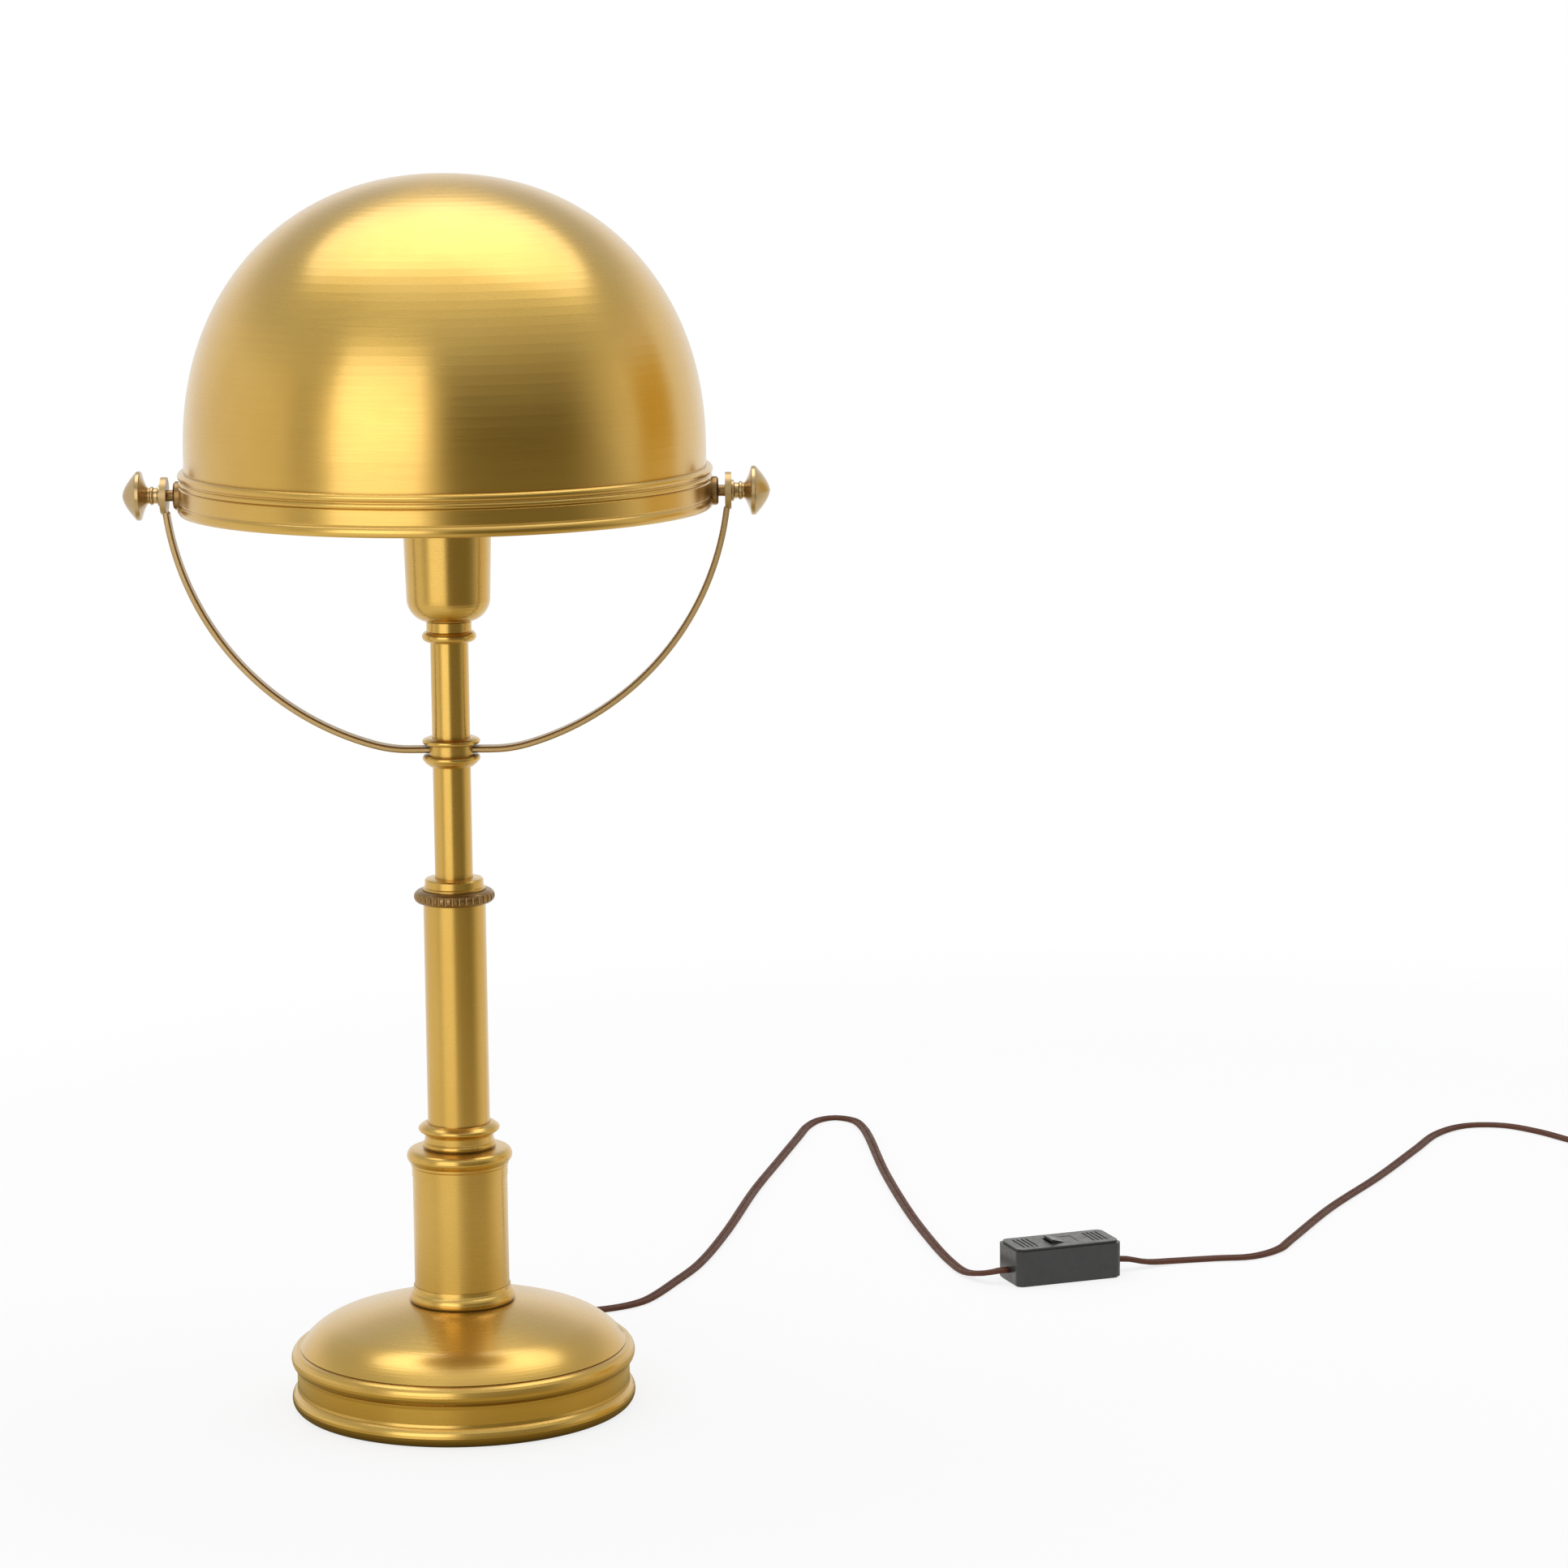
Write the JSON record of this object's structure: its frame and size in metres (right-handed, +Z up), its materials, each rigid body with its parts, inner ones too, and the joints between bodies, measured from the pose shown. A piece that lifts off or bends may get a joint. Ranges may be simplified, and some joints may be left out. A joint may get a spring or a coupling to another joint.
{
  "type": "dome shade desk lamp",
  "caption": "Table lamp with a dome shade that tilts on a half-ring yoke, a telescoping column, a weighted round base, and a flat cord with an inline switch.",
  "frame": {"origin": "centre of the base's underside, on the table, under the column's axis", "axes": "+Z up along the column, +X towards the yoke's right eye, +Y towards the back, where the cord leaves the base"},
  "size_m": [0.8503, 0.7014, 0.5762],
  "materials": {
    "satin_brass": "satin, finely brushed round each turned piece",
    "dark_brass": "satin, darkened with age",
    "plain_brass": "plain",
    "steel": "zinc plated",
    "cap_metal": "rolled",
    "iron": "as cast, painted black",
    "felt": "felt",
    "nylon": "plain",
    "holder_plastic": "moulded",
    "opal_glass": "frosted white",
    "black_plastic": "moulded, worn gloss",
    "cord_vinyl": "flat twin vinyl cord",
    "plug_vinyl": "moulded"
  },
  "bodies": {
    "stand": {"felt_pad": "felt", "base_plate": "steel", "plate_screws": "steel", "base_weight": "iron", "base_shell": "satin_brass", "tie_rod": "steel", "rod_nuts": "steel", "rod_washers": "steel", "foot_ring": "satin_brass", "lower_sleeve": "satin_brass", "step_fitting": "satin_brass", "column_tube": "satin_brass", "cap_bush": "satin_brass", "strain_relief": "black_plastic", "cord_lamp_side": "cord_vinyl", "switch_base": "black_plastic", "switch_cover": "black_plastic", "switch_screws": "steel", "cord_plug_side": "cord_vinyl", "cord_coil": "cord_vinyl", "plug_body": "plug_vinyl", "plug_blades": "plain_brass"},
    "clamp": {"clamp_ring": "dark_brass"},
    "slider": {"slide_bush": "nylon"},
    "mast": {"mast_end_rings": "dark_brass", "mast_tube": "satin_brass", "yoke_collar": "satin_brass", "collar_screw": "steel", "yoke_strap_right": "satin_brass", "yoke_strap_left": "satin_brass", "holder_neck": "satin_brass", "holder_nipple": "steel", "nipple_nut": "steel", "holder_cup": "satin_brass", "holder_insulator": "holder_plastic", "screw_shell": "plain_brass", "centre_contact": "plain_brass", "bulb_cap": "cap_metal", "bulb_glass": "opal_glass"},
    "shade": {"dome_shade": "satin_brass", "rim_band": "satin_brass", "pivot_stud_right": "dark_brass", "pivot_stud_left": "dark_brass", "stud_washers": "steel", "stud_nuts": "steel"},
    "right_finial": {"finial_right": "satin_brass"},
    "left_finial": {"finial_left": "satin_brass"},
    "rocker": {"switch_rocker": "black_plastic"}
  },
  "joints": [
    {"name": "clamp_turn", "type": "hinge", "parent": "stand", "child": "clamp", "pos_m": [0, 0, 0.2423], "axis": [0, 0, 1], "range_deg": [0, 270]},
    {"name": "height_slide", "type": "slide", "parent": "stand", "child": "slider", "axis": [0, 0, 1], "range_m": [-0.05, 0.095]},
    {"name": "mast_swivel", "type": "hinge", "parent": "slider", "child": "mast", "pos_m": [0, 0, 0.132], "axis": [0, 0, 1], "range_deg": [-175, 175]},
    {"name": "shade_tilt", "type": "hinge", "parent": "mast", "child": "shade", "pos_m": [0, 0, 0.4303], "axis": [1, 0, 0], "range_deg": [-75, 75]},
    {"name": "right_finial_turn", "type": "hinge", "parent": "shade", "child": "right_finial", "pos_m": [0.1304, 0, 0.4303], "axis": [1, 0, 0], "range_deg": [0, 360]},
    {"name": "left_finial_turn", "type": "hinge", "parent": "shade", "child": "left_finial", "pos_m": [-0.1304, 0, 0.4303], "axis": [-1, 0, 0], "range_deg": [0, 360]},
    {"name": "rocker_tilt", "type": "hinge", "parent": "stand", "child": "rocker", "pos_m": [0.29325, 0.21592, 0.0165], "axis": [-0.342, 0.9397, 0], "range_deg": [-16, 0]}
  ]
}
